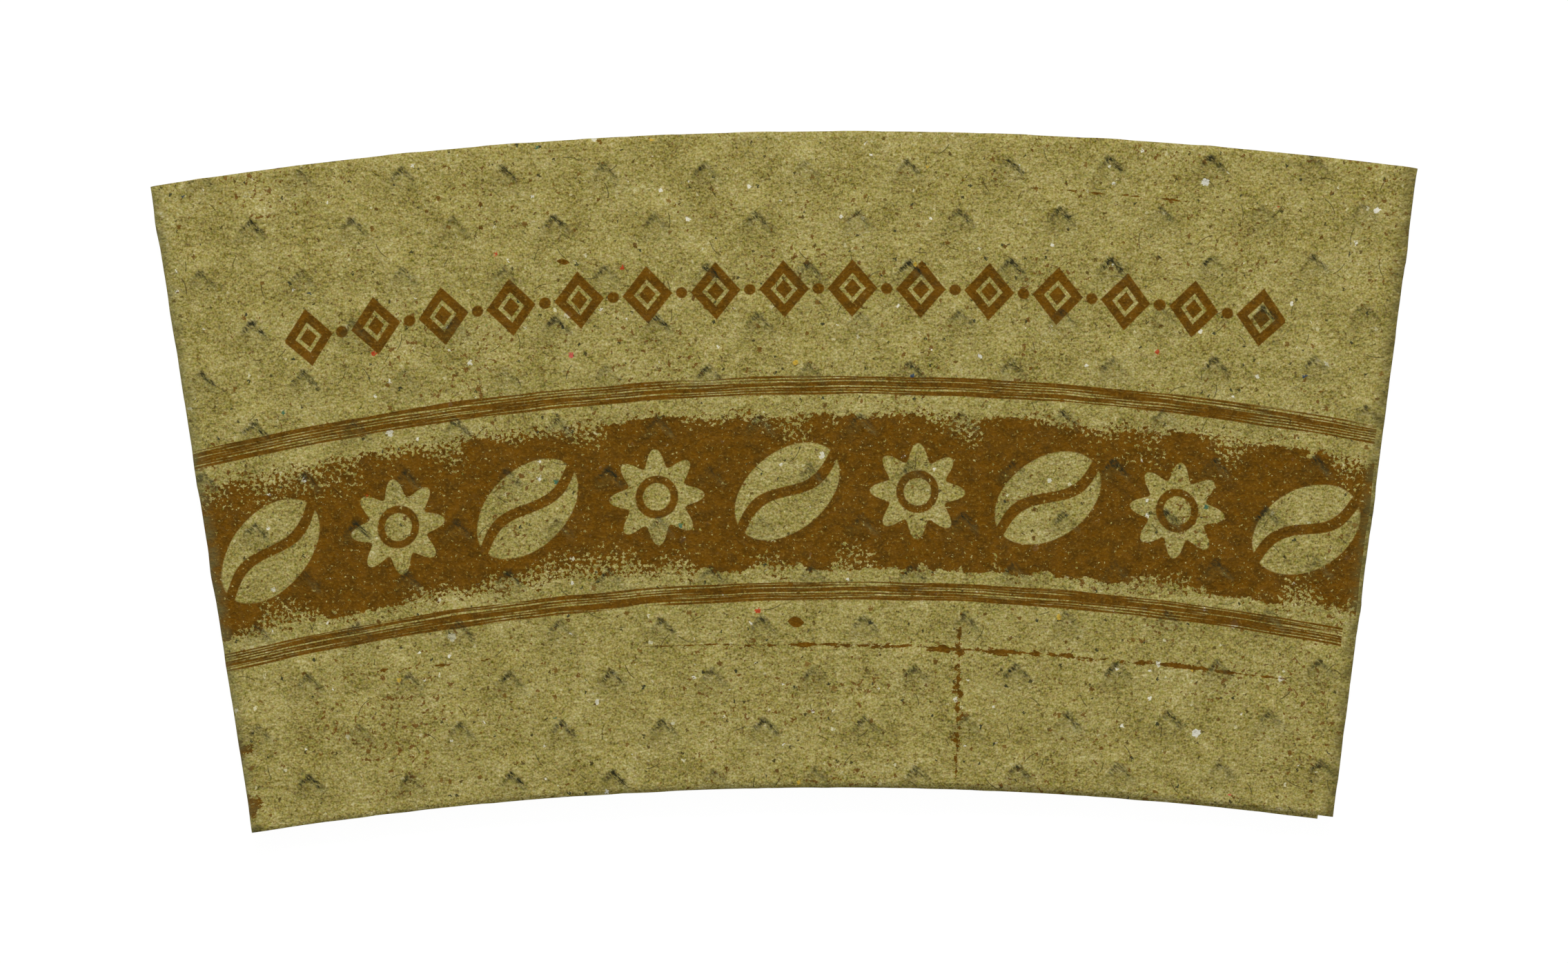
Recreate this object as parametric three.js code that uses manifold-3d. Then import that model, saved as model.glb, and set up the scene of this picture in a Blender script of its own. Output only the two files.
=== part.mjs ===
// A takeaway cup sleeve of embossed recycled board, folded flat as it comes from the pack.
//
// The blank is one sheet, an annular sector of board. Its flat plane is X and Y, with the centre of
// its arcs at the origin and the front panel's middle on +Y. From one end to the other it holds the
// back panel, the left fold, the front panel, the right fold and the glue flap. The folds turn the
// back panel and the flap under the front panel, and the flap is glued inside the back panel's end,
// so the sheet is a closed loop that opens into a cone for the cup.
//
// Millimetres, +Z up. The sleeve lies on its back panel, front panel up, top edge towards +Y.

import * as THREE from 'three';
import { mergeVertices } from 'three/addons/utils/BufferGeometryUtils.js';
import Module from 'manifold-3d';

const wasm = await Module();
wasm.setup();

const degrees = Math.PI / 180;

// Outline of the blank
const topRadius = 440;             // arc of the top edge
const slantHeight = 65;            // top edge to bottom edge, along the board
const panelAngle = 16.5 * degrees; // fold to fold, across one panel
const flapWidth = 12;              // glue flap, measured at its middle
const endSetback = 1.6;            // from the right fold to the back panel's cut end

// Board and emboss
const boardThickness = 0.5;
const bumpPitch = 7.1;             // between neighbours, along the diagonal rows
const tipReach = 0.6;              // from a bump's middle to the corners of its flat tip
const bumpHeight = 0.5;
const bumpAt = new THREE.Vector2(22.4, -8.7); // one bump, from the middle of the top edge's chord

// How it lies folded
const flapFoldRadius = 0.55;       // right fold, at the middle of the board
const glueGap = 0.22;              // between the flap and the back panel, filled by glue
const frontBow = 0.7;              // rise of the front panel's middle as the folds spring open
const foldSkew = 0.1 * degrees;    // turn of the left fold off its radial line
const foldSteps = 4;               // facets round a fold

// Glue
const glueMargin = 3;              // from the glue's edges to the edges of the flap

// Where pressing flattens the emboss
const creaseFade = 2.2;            // emboss grows to its full height this far from a fold
const creaseShare = 0.25;          // share of its height left on a fold
const flapShare = 0.12;            // and on the glued flap
const seamShare = 0.5;             // and on the back panel over the flap

// Sizes that follow from those
const bottomRadius = topRadius - slantHeight;
const middleRadius = (topRadius + bottomRadius) / 2;
const halfAngle = panelAngle / 2;
const flapAngle = flapWidth / middleRadius;
const setbackAngle = endSetback / middleRadius;
const layerStep = boardThickness + glueGap;            // back panel to flap, middle to middle
const bodyFoldRadius = flapFoldRadius + layerStep / 2; // left fold, at the middle of the board
const backLevel = 0;
const frontLevel = backLevel + 2 * bodyFoldRadius;
const flapLevel = frontLevel - 2 * flapFoldRadius;
const chordHeight = topRadius * Math.cos(halfAngle);
const snap = 0.3;                  // a mesh point this near a cut is moved onto it

// The two folds as lines in the blank's plane: a point, the way outwards and the length of its bend
function foldLine(angle, turn, radius, side) {
	const along = new THREE.Vector2(Math.sin(angle + turn), Math.cos(angle + turn));
	return {
		point: new THREE.Vector2(middleRadius * Math.sin(angle), middleRadius * Math.cos(angle)),
		outward: new THREE.Vector2(along.y, -along.x).multiplyScalar(side),
		radius,
		reach: radius * Math.PI / 2,
	};
}

const leftFold = foldLine(-halfAngle, foldSkew, bodyFoldRadius, -1);
const rightFold = foldLine(halfAngle, 0, flapFoldRadius, 1);

// Distance of a point of the blank beyond a fold's line
function beyond(fold, point) {
	return point.clone().sub(fold.point).dot(fold.outward);
}

function angleOf(point) {
	return Math.atan2(point.x, point.y);
}

// Emboss: four-sided bumps with small flat tips, on a square grid that stands on its corner
const rowDirection = new THREE.Vector2(1, 1).normalize();
const columnDirection = new THREE.Vector2(-1, 1).normalize();
const gridOrigin = new THREE.Vector2(bumpAt.x, chordHeight + bumpAt.y);

function gridPoint(column, row) {
	return gridOrigin.clone()
		.addScaledVector(rowDirection, column * bumpPitch)
		.addScaledVector(columnDirection, row * bumpPitch);
}

function embossHeight(point) {
	const offset = point.clone().sub(gridOrigin);
	const column = offset.dot(rowDirection) / bumpPitch;
	const row = offset.dot(columnDirection) / bumpPitch;
	const aside = Math.abs(column - Math.round(column));
	const along = Math.abs(row - Math.round(row));
	const fromMiddle = (aside + along) * bumpPitch;
	const slope = (bumpPitch / 2 - fromMiddle) / (bumpPitch / 2 - tipReach);
	return bumpHeight * THREE.MathUtils.clamp(slope, 0, 1);
}

// Share of the emboss that the folding and gluing presses leave
function embossShare(point) {
	const toFold = Math.min(Math.abs(beyond(leftFold, point)), Math.abs(beyond(rightFold, point)));
	const awayFromCrease = THREE.MathUtils.smoothstep(toFold, 0, creaseFade);
	let share = THREE.MathUtils.lerp(creaseShare, 1, awayFromCrease);
	if (beyond(rightFold, point) > 0) share = Math.min(share, flapShare);
	if (angleOf(point) < -3 * halfAngle + setbackAngle + flapAngle) share = Math.min(share, seamShare);
	return share;
}

// One mesh of the flat blank: { points, triangles }. Each grid cell has the tip of one bump, the
// slopes of its four corners' bumps and the level square between their feet.
function embossGrid() {
	const points = [];
	const triangles = [];
	const index = new Map();
	const tip = tipReach / bumpPitch;
	const add = (column, row) => {
		const key = `${column.toFixed(4)},${row.toFixed(4)}`;
		if (!index.has(key)) {
			index.set(key, points.length);
			points.push(gridPoint(column, row));
		}
		return index.get(key);
	};
	const addSquare = (corners) => {
		triangles.push([corners[0], corners[1], corners[2]], [corners[0], corners[2], corners[3]]);
	};
	const steps = [[1, 0], [0, 1], [-1, 0], [0, -1]];
	const corners = [[0, 0], [1, 0], [1, 1], [0, 1]];
	const span = Math.ceil(topRadius / bumpPitch);
	for (let column = -span; column < span; column++) {
		for (let row = -2 * span; row < span; row++) {
			const middle = gridPoint(column + 0.5, row + 0.5);
			const angle = angleOf(middle);
			const nearBlank = angle > -3 * halfAngle - flapAngle && angle < halfAngle + 2 * flapAngle
				&& middle.length() > bottomRadius - bumpPitch && middle.length() < topRadius + bumpPitch;
			if (!nearBlank) continue;
			addSquare(steps.map(([x, y]) => add(column + x * tip, row + y * tip)));
			addSquare(corners.map(([x, y], k) => add(column + x + steps[k][0] / 2, row + y + steps[k][1] / 2)));
			corners.forEach(([x, y], k) => {
				const ahead = steps[k];
				const aside = steps[(k + 1) % 4];
				addSquare([[ahead, tip], [ahead, 0.5], [aside, 0.5], [aside, tip]].map(
					([step, share]) => add(column + x + step[0] * share, row + y + step[1] * share),
				));
			});
		}
	}
	return { points, triangles };
}

// Cuts the mesh along the curve where distance(point) is zero. Points near the curve are moved onto
// it first, so no thin sliver is left. With keepBoth false, the side above zero is thrown away.
function cutAlong(mesh, distance, keepBoth) {
	const points = mesh.points.map((point) => point.clone());
	const level = points.map((point) => {
		const value = distance(point);
		if (Math.abs(value) > snap) return value;
		const step = snap / 10;
		const slope = new THREE.Vector2(
			distance(point.clone().add(new THREE.Vector2(step, 0))) - value,
			distance(point.clone().add(new THREE.Vector2(0, step))) - value,
		).divideScalar(step);
		point.addScaledVector(slope, -value / slope.lengthSq());
		return 0;
	});
	const crossings = new Map();
	const crossing = (a, b) => {
		const key = a < b ? `${a},${b}` : `${b},${a}`;
		if (!crossings.has(key)) {
			const [low, high] = a < b ? [a, b] : [b, a];
			crossings.set(key, points.length);
			points.push(points[low].clone().lerp(points[high], level[low] / (level[low] - level[high])));
		}
		return crossings.get(key);
	};
	const triangles = [];
	for (const triangle of mesh.triangles) {
		for (const side of keepBoth ? [-1, 1] : [-1]) {
			const inside = triangle.map((i) => level[i] * side);
			if (inside.every((value) => value <= 0)) continue;
			const polygon = [];
			triangle.forEach((i, k) => {
				const next = (k + 1) % 3;
				if (inside[k] >= 0) polygon.push(i);
				if (inside[k] * inside[next] < 0) polygon.push(crossing(i, triangle[next]));
			});
			for (let k = 1; k + 1 < polygon.length; k++) {
				triangles.push([polygon[0], polygon[k], polygon[k + 1]]);
			}
		}
	}
	return { points, triangles };
}

// The blank: the grid die-cut to its outline, then scored where the folds bend
function cutBlank() {
	let mesh = embossGrid();
	const firstEnd = -3 * halfAngle + setbackAngle;
	const lastEnd = halfAngle + flapAngle;
	mesh = cutAlong(mesh, (point) => point.length() - topRadius, false);
	mesh = cutAlong(mesh, (point) => bottomRadius - point.length(), false);
	mesh = cutAlong(mesh, (point) => (firstEnd - angleOf(point)) * middleRadius, false);
	mesh = cutAlong(mesh, (point) => (angleOf(point) - lastEnd) * middleRadius, false);
	for (const fold of [leftFold, rightFold]) {
		for (let k = 0; k <= foldSteps; k++) {
			const place = fold.reach * (2 * k / foldSteps - 1);
			mesh = cutAlong(mesh, (point) => beyond(fold, point) - place, true);
		}
	}
	return mesh;
}

// Folded place of a point of the blank: the middle of the board and the board's outward direction
function bend(fold, point, level) {
	const out = beyond(fold, point);
	const angle = THREE.MathUtils.clamp((out + fold.reach) / fold.radius, 0, Math.PI);
	const past = Math.max(0, out - fold.reach);
	const reached = -fold.reach + fold.radius * Math.sin(angle) - past;
	const place = point.clone().addScaledVector(fold.outward, reached - out);
	return {
		middle: new THREE.Vector3(place.x, place.y, level - fold.radius * (1 - Math.cos(angle))),
		normal: new THREE.Vector3(
			fold.outward.x * Math.sin(angle), fold.outward.y * Math.sin(angle), Math.cos(angle),
		),
	};
}

function foldedPlace(point) {
	if (beyond(leftFold, point) > -leftFold.reach) return bend(leftFold, point, frontLevel);
	if (beyond(rightFold, point) > -rightFold.reach) return bend(rightFold, point, frontLevel);
	const across = angleOf(point) / halfAngle;
	const rise = frontBow * Math.max(0, 1 - across * across) ** 2;
	return {
		middle: new THREE.Vector3(point.x, point.y, frontLevel + rise),
		normal: new THREE.Vector3(0, 0, 1),
	};
}

// Thickens the folded mesh into a closed board: outer face, inner face and the cut edges between
function thicken(mesh) {
	const positions = [];
	const used = new Map();
	const facePoint = (i, side) => {
		const key = `${i},${side}`;
		if (!used.has(key)) {
			const place = foldedPlace(mesh.points[i]);
			const emboss = embossHeight(mesh.points[i]) * embossShare(mesh.points[i]);
			const out = place.middle.clone().addScaledVector(place.normal, emboss + side * boardThickness / 2);
			used.set(key, positions.length / 3);
			positions.push(out.x, out.y, out.z);
		}
		return used.get(key);
	};
	const faces = [];
	const edges = new Map();
	for (const [a, b, c] of mesh.triangles) {
		faces.push(facePoint(a, 1), facePoint(b, 1), facePoint(c, 1));
		faces.push(facePoint(a, -1), facePoint(c, -1), facePoint(b, -1));
		for (const [from, to] of [[a, b], [b, c], [c, a]]) {
			if (!edges.delete(`${to},${from}`)) edges.set(`${from},${to}`, [from, to]);
		}
	}
	for (const [from, to] of edges.values()) {
		faces.push(facePoint(from, 1), facePoint(from, -1), facePoint(to, -1));
		faces.push(facePoint(from, 1), facePoint(to, -1), facePoint(to, 1));
	}
	const geometry = new THREE.BufferGeometry();
	geometry.setAttribute('position', new THREE.Float32BufferAttribute(positions, 3));
	geometry.setIndex(faces);
	return geometry;
}

// The glue between flap and back panel, from the middle of one board to the middle of the other
function glueLine() {
	const inset = glueMargin / middleRadius;
	const nearFold = halfAngle - setbackAngle - inset;
	const farFromFold = halfAngle - flapAngle + inset;
	const outline = new THREE.Shape();
	outline.absarc(0, 0, topRadius - glueMargin, Math.PI / 2 - farFromFold, Math.PI / 2 - nearFold, true);
	outline.absarc(0, 0, bottomRadius + glueMargin, Math.PI / 2 - nearFold, Math.PI / 2 - farFromFold, false);
	outline.closePath();
	const geometry = new THREE.ExtrudeGeometry(outline, {
		depth: flapLevel - backLevel, bevelEnabled: false, curveSegments: 2,
	});
	return geometry.translate(0, 0, backLevel);
}

function solidOf(geometry) {
	const plain = geometry.clone();
	plain.deleteAttribute('normal');
	plain.deleteAttribute('uv');
	const merged = mergeVertices(plain, 1e-5);
	return new wasm.Manifold(new wasm.Mesh({
		numProp: 3,
		vertProperties: new Float32Array(merged.attributes.position.array),
		triVerts: new Uint32Array(merged.index.array),
	}));
}

function geometryOf(solid) {
	const mesh = solid.getMesh();
	const geometry = new THREE.BufferGeometry();
	geometry.setAttribute('position', new THREE.Float32BufferAttribute(mesh.vertProperties, 3));
	geometry.setIndex(Array.from(mesh.triVerts));
	geometry.computeVertexNormals();
	return geometry;
}

const kraftBoard = new THREE.MeshStandardMaterial({
	name: 'kraft_board', color: '#a89a6b', roughness: 0.92, metalness: 0, flatShading: true,
});

function buildSleeve() {
	const board = solidOf(thicken(cutBlank()));
	const bonded = board.add(solidOf(glueLine()));
	const sleeve = new THREE.Mesh(geometryOf(bonded), kraftBoard);
	sleeve.name = 'cup_sleeve';
	sleeve.geometry.computeBoundingBox();
	const box = sleeve.geometry.boundingBox;
	const middle = box.getCenter(new THREE.Vector3());
	sleeve.position.set(-middle.x, -middle.y, -box.min.z);
	return sleeve;
}

const cupSleeve = new THREE.Group();
cupSleeve.add(buildSleeve());

export default cupSleeve;
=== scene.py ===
import math

import bmesh
import bpy
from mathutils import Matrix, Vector, noise


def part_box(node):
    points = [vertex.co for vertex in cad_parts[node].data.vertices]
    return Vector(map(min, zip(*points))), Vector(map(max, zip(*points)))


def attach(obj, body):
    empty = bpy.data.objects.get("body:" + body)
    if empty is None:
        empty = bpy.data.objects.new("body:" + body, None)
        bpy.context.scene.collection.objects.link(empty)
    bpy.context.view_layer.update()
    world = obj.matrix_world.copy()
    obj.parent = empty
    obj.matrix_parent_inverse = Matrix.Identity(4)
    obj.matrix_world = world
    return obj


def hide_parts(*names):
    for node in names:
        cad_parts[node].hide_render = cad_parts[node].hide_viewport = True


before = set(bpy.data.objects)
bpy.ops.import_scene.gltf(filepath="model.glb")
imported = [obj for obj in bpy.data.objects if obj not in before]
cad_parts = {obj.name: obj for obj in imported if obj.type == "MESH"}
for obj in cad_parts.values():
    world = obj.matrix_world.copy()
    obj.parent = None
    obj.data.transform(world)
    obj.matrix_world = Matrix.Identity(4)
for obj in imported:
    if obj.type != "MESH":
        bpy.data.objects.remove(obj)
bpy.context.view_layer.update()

mm = 0.001


def hexColor(code):  # sRGB hex to linear
    parts = [int(code[i:i + 2], 16) / 255 for i in (1, 3, 5)]
    return [c / 12.92 if c <= 0.04045 else ((c + 0.055) / 1.055) ** 2.4 for c in parts] + [1.0]


def addNode(tree, kind, inputs=None, output=0, **settings):
    node = tree.nodes.new("ShaderNode" + kind)
    for name, value in settings.items():
        setattr(node, name, value)
    for key, value in (inputs or {}).items():
        if isinstance(value, bpy.types.NodeSocket):
            tree.links.new(value, node.inputs[key])
        else:
            node.inputs[key].default_value = value
    return node.outputs[output] if output is not None and node.outputs else node


# The sleeve's blank, in mm, as the part has it: arcs about the flat origin, front panel's middle on +Y
sleeve = {
    "topRadius": 440.0,
    "slantHeight": 65.0,
    "halfAngle": math.radians(16.5) / 2,   # half of one panel
    "flapWidth": 12.0,
    "endSetback": 1.6,
    "boardThickness": 0.5,
    "glueGap": 0.22,
    "flapFoldRadius": 0.55,
    "frontBow": 0.7,
    "foldSkew": math.radians(0.1),
    "bumpPitch": 7.1,
    "tipReach": 0.6,
    "bumpHeight": 0.49,
    "bumpAt": (22.4, -8.7),                # one bump, from the middle of the top edge's chord
    "creaseFade": 2.2,
    "creaseShare": 0.25,
    "flapShare": 0.12,
    "seamShare": 0.5,
    "softness": 0.05,                      # uneven surface of the pressed board
    "swellings": 0.35,                     # of that unevenness, per mm
    "usualBump": 0.93,                     # a usual bump's share of the bumps' height
    "bumpSpread": 0.14,                    # how far single bumps differ from it
    "floorGap": 0.006,                     # mm between the floor and the lowest bumps
    "rows": 104,                           # mesh lines from the top edge to the bottom edge
    "backColumns": 196,
    "leftFoldColumns": 10,
    "frontColumns": 212,
    "rightFoldColumns": 8,
    "flapColumns": 18,
}
bottomRadius = sleeve["topRadius"] - sleeve["slantHeight"]
middleRadius = (sleeve["topRadius"] + bottomRadius) / 2
halfAngle = sleeve["halfAngle"]
chordHeight = sleeve["topRadius"] * math.cos(halfAngle)
bodyFoldRadius = sleeve["flapFoldRadius"] + (sleeve["boardThickness"] + sleeve["glueGap"]) / 2
frontLevel = 2 * bodyFoldRadius
flapLevel = frontLevel - 2 * sleeve["flapFoldRadius"]
firstEnd = -3 * halfAngle + sleeve["endSetback"] / middleRadius
lastEnd = halfAngle + sleeve["flapWidth"] / middleRadius
panelReach = halfAngle * middleRadius     # mm along the arc from the panel's middle to a fold


def foldLine(angle, turn, radius, side):
    along = Vector((math.sin(angle + turn), math.cos(angle + turn)))
    return {
        "point": Vector((math.sin(angle), math.cos(angle))) * middleRadius,
        "outward": Vector((along.y, -along.x)) * side,
        "radius": radius,
        "reach": radius * math.pi / 2,
    }


leftFold = foldLine(-halfAngle, sleeve["foldSkew"], bodyFoldRadius, -1)
rightFold = foldLine(halfAngle, 0, sleeve["flapFoldRadius"], 1)


def beyond(fold, point):
    return (point - fold["point"]).dot(fold["outward"])


def smoothStep(value, low, high):
    share = min(max((value - low) / (high - low), 0), 1)
    return share * share * (3 - 2 * share)


def embossHeight(point):
    offset = point - Vector((sleeve["bumpAt"][0], chordHeight + sleeve["bumpAt"][1]))
    column = (offset.x + offset.y) / math.sqrt(2) / sleeve["bumpPitch"]
    row = (offset.y - offset.x) / math.sqrt(2) / sleeve["bumpPitch"]
    aside, along = abs(column - round(column)), abs(row - round(row))
    foot = sleeve["bumpPitch"] / 2
    slope = (foot - (aside + along) * sleeve["bumpPitch"]) / (foot - sleeve["tipReach"])
    own = noise.noise(Vector((round(column) * 3.7, round(row) * 5.3, 2)))      # each bump a little different
    height = sleeve["bumpHeight"] * (sleeve["usualBump"] + sleeve["bumpSpread"] * min(0.5, own))
    height *= min(max(slope, 0), 1)
    toFold = min(abs(beyond(leftFold, point)), abs(beyond(rightFold, point)))
    share = sleeve["creaseShare"] + (1 - sleeve["creaseShare"]) * smoothStep(toFold, 0, sleeve["creaseFade"])
    if beyond(rightFold, point) > 0:
        share = min(share, sleeve["flapShare"])
    if math.atan2(point.x, point.y) < firstEnd + sleeve["flapWidth"] / middleRadius:
        share = min(share, sleeve["seamShare"])
    wave = noise.noise(Vector((point.x, point.y, 0)) * sleeve["swellings"]) * sleeve["softness"]
    return height * share + min(wave, 0)


def foldedPlace(point, raised):
    level, fold = frontLevel, None
    for candidate in (leftFold, rightFold):
        if beyond(candidate, point) > -candidate["reach"]:
            fold = candidate
    if fold is None:
        across = math.atan2(point.x, point.y) / halfAngle
        level += sleeve["frontBow"] * max(0, 1 - across * across) ** 2
        return Vector((point.x, point.y, level + raised))
    out = beyond(fold, point)
    turn = min(max((out + fold["reach"]) / fold["radius"], 0), math.pi)
    past = max(0, out - fold["reach"])
    reached = -fold["reach"] + fold["radius"] * math.sin(turn) - past
    place = point + fold["outward"] * (reached - out + math.sin(turn) * raised)
    return Vector((place.x, place.y, level - fold["radius"] * (1 - math.cos(turn)) + math.cos(turn) * raised))


def columnAngle(share):
    knots = [
        (0, firstEnd),
        (sleeve["backColumns"], -halfAngle - leftFold["reach"] / middleRadius),
        (sleeve["leftFoldColumns"], -halfAngle + leftFold["reach"] / middleRadius),
        (sleeve["frontColumns"], halfAngle - rightFold["reach"] / middleRadius),
        (sleeve["rightFoldColumns"], halfAngle + rightFold["reach"] / middleRadius),
        (sleeve["flapColumns"], lastEnd),
    ]
    column = share * sum(count for count, angle in knots)
    for (_, low), (count, high) in zip(knots, knots[1:]):
        if column <= count + 1e-4:
            return low + (high - low) * column / count
        column -= count
    return lastEnd


# Flat sheet first, then each vertex goes to its folded place; its flat place stays in the UV maps
sheet = bmesh.new()
columns = sum(sleeve[name] for name in (
    "backColumns", "leftFoldColumns", "frontColumns", "rightFoldColumns", "flapColumns"))
bmesh.ops.create_grid(sheet, x_segments=columns, y_segments=sleeve["rows"], size=0.5)
flatMap = sheet.loops.layers.uv.new("flat")   # metres in the flat blank
arcMap = sheet.loops.layers.uv.new("arc")     # metres along the arc, and down from the top edge
flatPlace = {}
for vert in sheet.verts:
    angle = columnAngle(vert.co.x + 0.5)
    radius = bottomRadius + (vert.co.y + 0.5) * sleeve["slantHeight"]
    flat = Vector((math.sin(angle), math.cos(angle))) * radius
    flatPlace[vert.index] = (flat, angle * middleRadius, sleeve["topRadius"] - radius)
for face in sheet.faces:
    for loop in face.loops:
        flat, along, depth = flatPlace[loop.vert.index]
        loop[flatMap].uv = flat * mm
        loop[arcMap].uv = (along * mm, depth * mm)
for vert in sheet.verts:
    flat = flatPlace[vert.index][0]
    vert.co = foldedPlace(flat, embossHeight(flat)) * mm
for face in sheet.faces:
    face.smooth = True
cadLow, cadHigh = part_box("cup_sleeve")
sheetLow = Vector([min(v.co[i] for v in sheet.verts) for i in range(3)])
sheetHigh = Vector([max(v.co[i] for v in sheet.verts) for i in range(3)])
shift = (cadLow + cadHigh) / 2 - (sheetLow + sheetHigh) / 2
shift.z = cadLow.z + (sleeve["boardThickness"] / 2 + sleeve["floorGap"]) * mm - sheetLow.z
bmesh.ops.translate(sheet, verts=sheet.verts, vec=shift)
sleeveMesh = bpy.data.meshes.new("cupSleeve")
sheet.to_mesh(sleeveMesh)
sheet.free()
cupSleeve = bpy.data.objects.new("cupSleeve", sleeveMesh)
bpy.context.collection.objects.link(cupSleeve)
boardLayer = cupSleeve.modifiers.new("boardLayer", "SOLIDIFY")
boardLayer.thickness = sleeve["boardThickness"] * mm
boardLayer.offset = 0
boardLayer.material_offset = 1
boardLayer.material_offset_rim = 2
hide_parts("cup_sleeve")
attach(cupSleeve, "root")
print("sleeve made,", len(sleeveMesh.polygons), "faces a side")

# The thin pad of glue between the flap and the back panel
seam = {
    "margin": 3.0,                         # glue stops this far from the flap's edges
    "rows": 40,
    "columns": 6,
}
pad = bmesh.new()
bmesh.ops.create_grid(pad, x_segments=seam["columns"], y_segments=seam["rows"], size=0.5)
nearFold = halfAngle - (sleeve["endSetback"] + seam["margin"]) / middleRadius
farFromFold = halfAngle - (sleeve["flapWidth"] - seam["margin"]) / middleRadius
for vert in pad.verts:
    angle = farFromFold + (vert.co.x + 0.5) * (nearFold - farFromFold)
    radius = bottomRadius + seam["margin"] + (vert.co.y + 0.5) * (sleeve["slantHeight"] - 2 * seam["margin"])
    place = Vector((math.sin(angle) * radius, math.cos(angle) * radius, flapLevel / 2))
    vert.co = place * mm + shift
padMesh = bpy.data.meshes.new("seamGlue")
pad.to_mesh(padMesh)
pad.free()
seamGlue = bpy.data.objects.new("seamGlue", padMesh)
bpy.context.collection.objects.link(seamGlue)
glueLayer = seamGlue.modifiers.new("glueLayer", "SOLIDIFY")
glueLayer.thickness = sleeve["glueGap"] * mm
glueLayer.offset = 0
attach(seamGlue, "root")

# Recycled kraft chipboard: matt pulp board with fibres, flecks and mottling. The outside carries a
# worn brown flexo print, and grey scuffing and dark cracks where the bumps cracked the pulp, with
# painted shade mixed into those marks, onto the bumps' lower sides and along both folds.
board = {
    "tones": [(0.0, "#3E3510"), (0.28, "#776B32"), (0.5, "#9E914E"), (0.70, "#B5A96C"), (1.0, "#D6CE9F")],
    "fibreDark": "#4A4220",
    "ink": "#6A4300",
    "inkDark": "#442B00",
    "inkPale": "#8A6518",
    # grey: scuffed pulp and painted shade, beside the bumps' lower right ridges and along the left fold
    "scuffAndShade": "#7F7C4E",
    # darker right-fold colour: rubbed board and painted shade where the board rounds over the fold
    "creaseRubAndShade": "#665D31",
    "sprinkle": "#6A4413",
    # dark: cracked pulp and painted shade in the bumps' tips and down their lower ridges
    "crackAndShade": "#2C2A18",
    # painted shade on the bumps' lower left sides
    "bumpShade": "#675C2C",
    "layers": [(0.20, 1.0), (0.45, 0.62), (1.4, 0.34), (4.5, 0.38)],   # pulp noise: size in mm, contrast
    "tint": 0.075,                         # how far single grains turn red, green or blue
    "strokeCell": 3.0,                     # mm between dark fibres
    "strokeLength": 1.9,
    "strokeWidth": 0.07,
    "strokeBend": 0.22,
    "strokeMissing": 0.68,                 # share of the cells that have no fibre
    "relief": 0.16,                        # mm of the pulp's own unevenness
    "foldRubAndShade": (1.6, 0.5),                 # mm from a fold where its rubbing and painted shade begin and are full
    # strength of the rubbing and painted shade at the left and the right fold
    "leftRubAndShade": 0.55,
    "rightRubAndShade": 0.75,
}
flecks = [
    {"cell": 1.5, "share": 0.50, "size": 0.14, "colours": ["#3E381C", "#54431A", "#2F3222", "#5D4A1C"]},
    {"cell": 3.0, "share": 0.5, "size": 0.15, "colours": ["#D3CDA4", "#C9C08E", "#E4E0C8", "#BEB584"]},
    {"cell": 2.6, "share": 0.38, "size": 0.2, "colours": ["#6B4A14", "#73531D", "#5C3D0E", "#7D5F28"]},
    {"cell": 11.0, "share": 0.4, "size": 0.32, "colours": ["#CFCBB0", "#DAD8C6", "#C8C3A0", "#D6D2B8"]},
    {"cell": 13.0, "share": 0.75, "size": 0.22,
     "colours": ["#B23A1E", "#2C4460", "#C9A63A", "#3F6B52", "#C4524A", "#26394A", "#E6E2D0", "#7E8A4A"]},
]
printing = {
    "upperLines": 25.2,                    # mm below the top edge, at the panel's middle
    "drop": 2.0,                           # mm that the print's arcs drop towards the folds
    "tilt": -0.36,
    "lineReach": 1.0,                      # half the height of a group of fine lines
    "linePitch": 0.27,
    "lineRidge": 0.17,                     # how strongly the fine lines part the ink
    "lineWear": 2.1,                       # how strongly streaks wear it
    "lineFade": 0.05,                      # more ink in the lower lines of a group, per mm
    "lineOffset": -0.42,                   # less ink in all of them
    "lowerLines": 20.4,                    # mm below the upper lines
    "bandFrom": 2.6,
    "bandTo": 18.4,
    "tornEdge": 0.9,
    "wornReach": 4.6,                      # mm that the worn specks reach into the band
    # mm of bare board before the right fold: at the upper lines, the band and the lower lines
    "rightMargins": (0.8, 0.6, 1.6),
    "marginEnds": (1.6, 19.3),             # mm below the upper lines where that margin changes
    "motifDrop": 10.5,                     # mm from the upper lines to the band's motifs
    "motifSpacing": 13.04,
    "friezeRise": 9.6,                     # mm from the upper lines up to the frieze
    "friezeSpacing": 6.52,
    "friezeEnd": 47.9,
    "softEdge": 0.06,                      # mm over which a motif's edge goes from ink to board
    "motifTurn": math.radians(38),
    "ovalHalves": (5.9, 3.9),              # half the length and half the height of the grooved ovals
    "grooveSwing": 0.9,                    # mm that the groove swings to each side
    "grooveTurn": 0.53,                    # radians of that swing per mm
    "grooveReach": 0.56,
    "petalCount": 8,
    "petalMiddle": 3.9,                    # mm from the rosette's centre, halfway down a petal
    "petalDepth": 0.85,
    "ringRadius": 1.75,
    "ringReach": 0.38,
    "lozengeLean": 1.2,                    # how much taller than wide the lozenges are
    "lozengeReach": 2.8,
    "innerRadius": 1.25,
    "innerReach": 0.28,
    "dotRadius": 0.5,
}
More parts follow.
